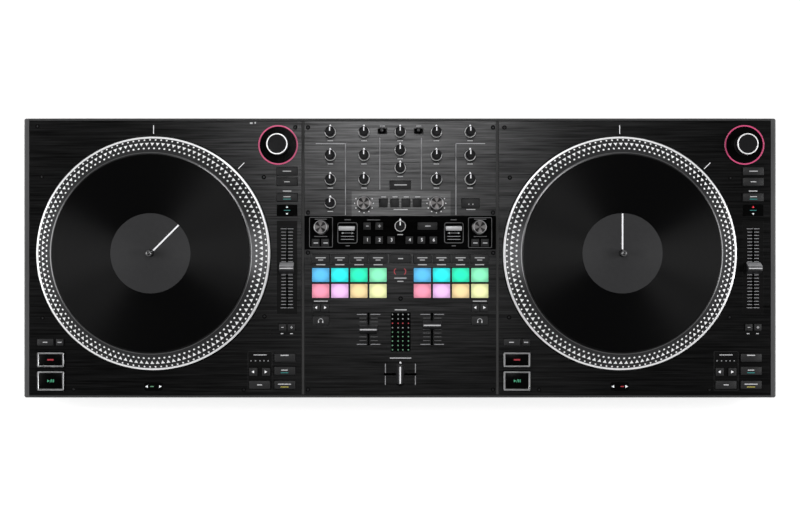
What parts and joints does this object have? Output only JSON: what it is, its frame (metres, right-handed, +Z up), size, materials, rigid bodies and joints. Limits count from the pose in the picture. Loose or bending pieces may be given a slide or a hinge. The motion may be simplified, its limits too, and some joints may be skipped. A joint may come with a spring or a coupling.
{
  "type": "dj controller",
  "caption": "DJ controller: motor platters with records either side of a mixer with knobs, pads, keys, paddles and faders.",
  "frame": {"origin": "on the surface that it stands on, under the middle of the case", "axes": "+X to the user's right along the case, +Y to the rear, away from the user, +Z up"},
  "size_m": [0.7, 0.26, 0.0826],
  "materials": {
    "case_plastic": "fine moulded texture",
    "brushed_panel": "brushed, dark lacquer",
    "foot_rubber": "matt",
    "board_green": "solder mask",
    "motor_steel": "turned",
    "platter_aluminium": "turned, dark bevel with bright marks",
    "record_vinyl": "grooved",
    "knob_plastic": "soft touch",
    "knob_metal": "spun top",
    "fader_plastic": "satin",
    "key_plastic": "satin",
    "pad_silicone": "translucent, lit from below",
    "paddle_aluminium": "brushed"
  },
  "bodies": {
    "base": {"bottom_case": "case_plastic", "left_deck_panel": "brushed_panel", "right_deck_panel": "brushed_panel", "mixer_panel": "brushed_panel", "main_board": "board_green", "left_motor": "motor_steel", "right_motor": "motor_steel", "foot_front_left": "foot_rubber", "foot_front_right": "foot_rubber", "foot_rear_left": "foot_rubber", "foot_rear_right": "foot_rubber"},
    "left_platter": {"left_platter": "platter_aluminium", "left_record": "record_vinyl"},
    "right_platter": {"right_platter": "platter_aluminium", "right_record": "record_vinyl"},
    "crossfader": {"crossfader": "fader_plastic"},
    "left_channel_fader": {"left_channel_fader": "fader_plastic"},
    "right_channel_fader": {"right_channel_fader": "fader_plastic"},
    "left_tempo_fader": {"left_tempo_fader": "fader_plastic"},
    "right_tempo_fader": {"right_tempo_fader": "fader_plastic"},
    "left_effect_paddle": {"left_effect_paddle": "paddle_aluminium"},
    "right_effect_paddle": {"right_effect_paddle": "paddle_aluminium"},
    "left_mini_switch": {"left_mini_switch": "knob_metal"},
    "right_mini_switch": {"right_mini_switch": "knob_metal"},
    "left_cue_key": {"left_cue_key": "key_plastic"},
    "right_cue_key": {"right_cue_key": "key_plastic"},
    "left_play_key": {"left_play_key": "key_plastic"},
    "right_play_key": {"right_play_key": "key_plastic"},
    "left_sync_keys": {"left_sync_keys": "key_plastic"},
    "right_sync_keys": {"right_sync_keys": "key_plastic"},
    "left_deck_keys": {"left_deck_keys": "key_plastic"},
    "right_deck_keys": {"right_deck_keys": "key_plastic"},
    "left_mixer_keys": {"left_mixer_keys": "key_plastic"},
    "right_mixer_keys": {"right_mixer_keys": "key_plastic"},
    "centre_mixer_keys": {"centre_mixer_keys": "key_plastic"},
    "left_pad_mat": {"left_pad_mat": "pad_silicone"},
    "right_pad_mat": {"right_pad_mat": "pad_silicone"},
    "left_browse_encoder": {"left_browse_encoder": "knob_plastic"},
    "right_browse_encoder": {"right_browse_encoder": "knob_plastic"},
    "left_loop_encoder": {"left_loop_encoder": "knob_metal"},
    "right_loop_encoder": {"right_loop_encoder": "knob_metal"},
    "left_filter_knob": {"left_filter_knob": "knob_metal"},
    "right_filter_knob": {"right_filter_knob": "knob_metal"},
    "left_effect_knob_1": {"left_effect_knob_1": "knob_plastic"},
    "left_effect_knob_2": {"left_effect_knob_2": "knob_plastic"},
    "left_effect_knob_3": {"left_effect_knob_3": "knob_plastic"},
    "left_effect_knob_4": {"left_effect_knob_4": "knob_plastic"},
    "right_effect_knob_1": {"right_effect_knob_1": "knob_plastic"},
    "right_effect_knob_2": {"right_effect_knob_2": "knob_plastic"},
    "right_effect_knob_3": {"right_effect_knob_3": "knob_plastic"},
    "left_treble_knob": {"left_treble_knob": "knob_plastic"},
    "right_treble_knob": {"right_treble_knob": "knob_plastic"},
    "left_middle_knob": {"left_middle_knob": "knob_plastic"},
    "right_middle_knob": {"right_middle_knob": "knob_plastic"},
    "left_bass_knob": {"left_bass_knob": "knob_plastic"},
    "right_bass_knob": {"right_bass_knob": "knob_plastic"},
    "main_level_knob": {"main_level_knob": "knob_plastic"},
    "booth_level_knob": {"booth_level_knob": "knob_plastic"},
    "phones_level_knob": {"phones_level_knob": "knob_plastic"},
    "cue_mix_knob": {"cue_mix_knob": "knob_plastic"}
  },
  "joints": [
    {"name": "left_platter_spin", "type": "hinge", "parent": "base", "child": "left_platter", "pos_m": [-0.2294, 0.0043, 0.0503], "axis": [0, 0, 1], "continuous": true},
    {"name": "right_platter_spin", "type": "hinge", "parent": "base", "child": "right_platter", "pos_m": [0.2045, 0.0043, 0.0503], "axis": [0, 0, 1], "continuous": true},
    {"name": "crossfader_slide", "type": "slide", "parent": "base", "child": "crossfader", "axis": [1, 0, 0], "range_m": [-0.0132, 0.0132]},
    {"name": "left_channel_slide", "type": "slide", "parent": "base", "child": "left_channel_fader", "axis": [0, 1, 0], "range_m": [-0.0134, 0.0134]},
    {"name": "right_channel_slide", "type": "slide", "parent": "base", "child": "right_channel_fader", "axis": [0, 1, 0], "range_m": [-0.0174, 0.0094]},
    {"name": "left_tempo_slide", "type": "slide", "parent": "base", "child": "left_tempo_fader", "axis": [0, 1, 0], "range_m": [-0.036, 0.036]},
    {"name": "right_tempo_slide", "type": "slide", "parent": "base", "child": "right_tempo_fader", "axis": [0, 1, 0], "range_m": [-0.036, 0.036]},
    {"name": "left_paddle_tilt", "type": "hinge", "parent": "base", "child": "left_effect_paddle", "pos_m": [-0.04934, 0.02801, 0.0433], "axis": [1, 0, 0], "range_deg": [-18, 18], "stiffness_Nm_per_rad": 0.02},
    {"name": "right_paddle_tilt", "type": "hinge", "parent": "base", "child": "right_effect_paddle", "pos_m": [0.04974, 0.02801, 0.0433], "axis": [1, 0, 0], "range_deg": [-18, 18], "stiffness_Nm_per_rad": 0.02},
    {"name": "left_switch_tilt", "type": "hinge", "parent": "base", "child": "left_mini_switch", "pos_m": [-0.01673, 0.11813, 0.0453], "axis": [0, 1, 0], "range_deg": [-14, 14]},
    {"name": "right_switch_tilt", "type": "hinge", "parent": "base", "child": "right_mini_switch", "pos_m": [0.01713, 0.11813, 0.0453], "axis": [0, 1, 0], "range_deg": [-14, 14]},
    {"name": "left_cue_press", "type": "slide", "parent": "base", "child": "left_cue_key", "axis": [0, 0, -1], "range_m": [0, 0.001], "stiffness_N_per_m": 1500},
    {"name": "right_cue_press", "type": "slide", "parent": "base", "child": "right_cue_key", "axis": [0, 0, -1], "range_m": [0, 0.001], "stiffness_N_per_m": 1500},
    {"name": "left_play_press", "type": "slide", "parent": "base", "child": "left_play_key", "axis": [0, 0, -1], "range_m": [0, 0.001], "stiffness_N_per_m": 1500},
    {"name": "right_play_press", "type": "slide", "parent": "base", "child": "right_play_key", "axis": [0, 0, -1], "range_m": [0, 0.001], "stiffness_N_per_m": 1500},
    {"name": "left_pads_press", "type": "slide", "parent": "base", "child": "left_pad_mat", "axis": [0, 0, -1], "range_m": [0, 0.0012], "stiffness_N_per_m": 2000},
    {"name": "right_pads_press", "type": "slide", "parent": "base", "child": "right_pad_mat", "axis": [0, 0, -1], "range_m": [0, 0.0012], "stiffness_N_per_m": 2000},
    {"name": "left_sync_press", "type": "slide", "parent": "base", "child": "left_sync_keys", "axis": [0, 0, -1], "range_m": [0, 0.001], "stiffness_N_per_m": 1500},
    {"name": "right_sync_press", "type": "slide", "parent": "base", "child": "right_sync_keys", "axis": [0, 0, -1], "range_m": [0, 0.001], "stiffness_N_per_m": 1500},
    {"name": "left_deck_keys_press", "type": "slide", "parent": "base", "child": "left_deck_keys", "axis": [0, 0, -1], "range_m": [0, 0.001], "stiffness_N_per_m": 2000},
    {"name": "right_deck_keys_press", "type": "slide", "parent": "base", "child": "right_deck_keys", "axis": [0, 0, -1], "range_m": [0, 0.001], "stiffness_N_per_m": 2000},
    {"name": "left_mixer_keys_press", "type": "slide", "parent": "base", "child": "left_mixer_keys", "axis": [0, 0, -1], "range_m": [0, 0.001], "stiffness_N_per_m": 2000},
    {"name": "right_mixer_keys_press", "type": "slide", "parent": "base", "child": "right_mixer_keys", "axis": [0, 0, -1], "range_m": [0, 0.001], "stiffness_N_per_m": 2000},
    {"name": "centre_keys_press", "type": "slide", "parent": "base", "child": "centre_mixer_keys", "axis": [0, 0, -1], "range_m": [0, 0.001], "stiffness_N_per_m": 2000},
    {"name": "left_browse_turn", "type": "hinge", "parent": "base", "child": "left_browse_encoder", "pos_m": [-0.11341, 0.10521, 0.0503], "axis": [0, 0, 1], "continuous": true},
    {"name": "right_browse_turn", "type": "hinge", "parent": "base", "child": "right_browse_encoder", "pos_m": [0.32049, 0.10521, 0.0503], "axis": [0, 0, 1], "continuous": true},
    {"name": "left_loop_turn", "type": "hinge", "parent": "base", "child": "left_loop_encoder", "pos_m": [-0.0734, 0.02869, 0.0503], "axis": [0, 0, 1], "continuous": true},
    {"name": "right_loop_turn", "type": "hinge", "parent": "base", "child": "right_loop_encoder", "pos_m": [0.0738, 0.02869, 0.0503], "axis": [0, 0, 1], "continuous": true},
    {"name": "left_filter_turn", "type": "hinge", "parent": "base", "child": "left_filter_knob", "pos_m": [-0.03348, 0.05092, 0.0503], "axis": [0, 0, 1], "range_deg": [-150, 150]},
    {"name": "right_filter_turn", "type": "hinge", "parent": "base", "child": "right_filter_knob", "pos_m": [0.03388, 0.05092, 0.0503], "axis": [0, 0, 1], "range_deg": [-150, 150]},
    {"name": "left_effect_1_turn", "type": "hinge", "parent": "base", "child": "left_effect_knob_1", "pos_m": [-0.06484, 0.11712, 0.0503], "axis": [0, 0, 1], "range_deg": [-150, 150]},
    {"name": "left_effect_2_turn", "type": "hinge", "parent": "base", "child": "left_effect_knob_2", "pos_m": [-0.06484, 0.09548, 0.0503], "axis": [0, 0, 1], "range_deg": [-150, 150]},
    {"name": "left_effect_3_turn", "type": "hinge", "parent": "base", "child": "left_effect_knob_3", "pos_m": [-0.06484, 0.07307, 0.0503], "axis": [0, 0, 1], "range_deg": [-150, 150]},
    {"name": "left_effect_4_turn", "type": "hinge", "parent": "base", "child": "left_effect_knob_4", "pos_m": [-0.06484, 0.0513, 0.0503], "axis": [0, 0, 1], "range_deg": [-150, 150]},
    {"name": "right_effect_1_turn", "type": "hinge", "parent": "base", "child": "right_effect_knob_1", "pos_m": [0.06524, 0.11712, 0.0503], "axis": [0, 0, 1], "range_deg": [-150, 150]},
    {"name": "right_effect_2_turn", "type": "hinge", "parent": "base", "child": "right_effect_knob_2", "pos_m": [0.06524, 0.09548, 0.0503], "axis": [0, 0, 1], "range_deg": [-150, 150]},
    {"name": "right_effect_3_turn", "type": "hinge", "parent": "base", "child": "right_effect_knob_3", "pos_m": [0.06524, 0.07307, 0.0503], "axis": [0, 0, 1], "range_deg": [-150, 150]},
    {"name": "left_treble_turn", "type": "hinge", "parent": "base", "child": "left_treble_knob", "pos_m": [-0.03348, 0.11712, 0.0503], "axis": [0, 0, 1], "range_deg": [-150, 150]},
    {"name": "right_treble_turn", "type": "hinge", "parent": "base", "child": "right_treble_knob", "pos_m": [0.03388, 0.11712, 0.0503], "axis": [0, 0, 1], "range_deg": [-150, 150]},
    {"name": "left_middle_turn", "type": "hinge", "parent": "base", "child": "left_middle_knob", "pos_m": [-0.03348, 0.09548, 0.0503], "axis": [0, 0, 1], "range_deg": [-150, 150]},
    {"name": "right_middle_turn", "type": "hinge", "parent": "base", "child": "right_middle_knob", "pos_m": [0.03388, 0.09548, 0.0503], "axis": [0, 0, 1], "range_deg": [-150, 150]},
    {"name": "left_bass_turn", "type": "hinge", "parent": "base", "child": "left_bass_knob", "pos_m": [-0.03348, 0.07307, 0.0503], "axis": [0, 0, 1], "range_deg": [-150, 150]},
    {"name": "right_bass_turn", "type": "hinge", "parent": "base", "child": "right_bass_knob", "pos_m": [0.03388, 0.07307, 0.0503], "axis": [0, 0, 1], "range_deg": [-150, 150]},
    {"name": "main_level_turn", "type": "hinge", "parent": "base", "child": "main_level_knob", "pos_m": [0.0002, 0.11712, 0.0503], "axis": [0, 0, 1], "range_deg": [-150, 150]},
    {"name": "booth_level_turn", "type": "hinge", "parent": "base", "child": "booth_level_knob", "pos_m": [0.0002, 0.10031, 0.0503], "axis": [0, 0, 1], "range_deg": [-150, 150]},
    {"name": "phones_level_turn", "type": "hinge", "parent": "base", "child": "phones_level_knob", "pos_m": [0.0002, 0.08376, 0.0503], "axis": [0, 0, 1], "range_deg": [-150, 150]},
    {"name": "cue_mix_turn", "type": "hinge", "parent": "base", "child": "cue_mix_knob", "pos_m": [0.0002, 0.02971, 0.0503], "axis": [0, 0, 1], "range_deg": [-150, 150]}
  ]
}
